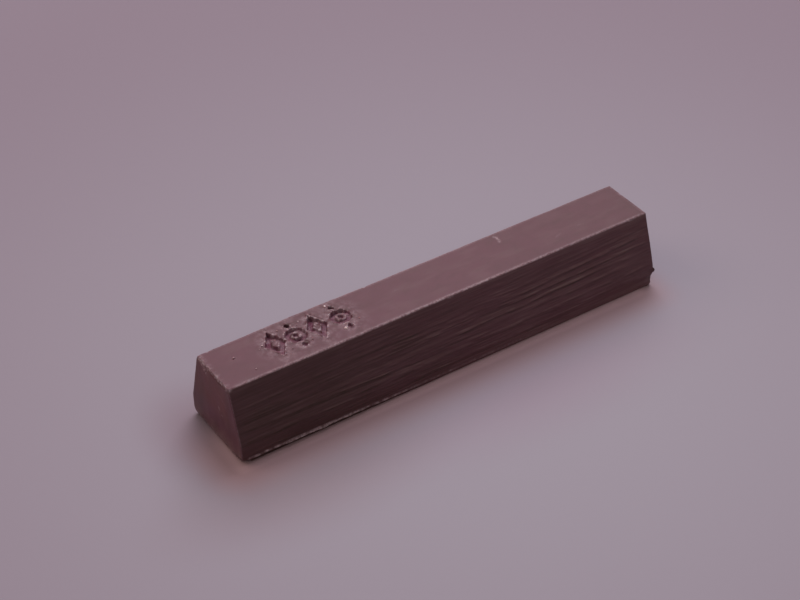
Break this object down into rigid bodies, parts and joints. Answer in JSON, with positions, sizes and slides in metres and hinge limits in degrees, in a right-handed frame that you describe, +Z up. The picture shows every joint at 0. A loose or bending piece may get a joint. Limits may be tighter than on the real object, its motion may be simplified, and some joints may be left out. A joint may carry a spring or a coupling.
{
  "type": "furniture repair wax stick",
  "caption": "Solid dark brown bar of hard filler wax for mending furniture, wider at its foot, with long draw lines on its sides and geometric punched marks on top.",
  "frame": {"origin": "middle of the foot of the bar, on the surface that it lies on", "axes": "+X along the bar, away from the punched marks; +Y to the back; +Z up"},
  "size_m": [0.08, 0.0152, 0.0141],
  "materials": {
    "wax": "dark red-brown hard wax with a soft waxy sheen and fine draw lines",
    "wax_crumb": "dry, paler crumbs of the same wax"
  },
  "bodies": {
    "root": {"wax_bar": "wax", "wax_crumbs": "wax_crumb"}
  },
  "joints": []
}
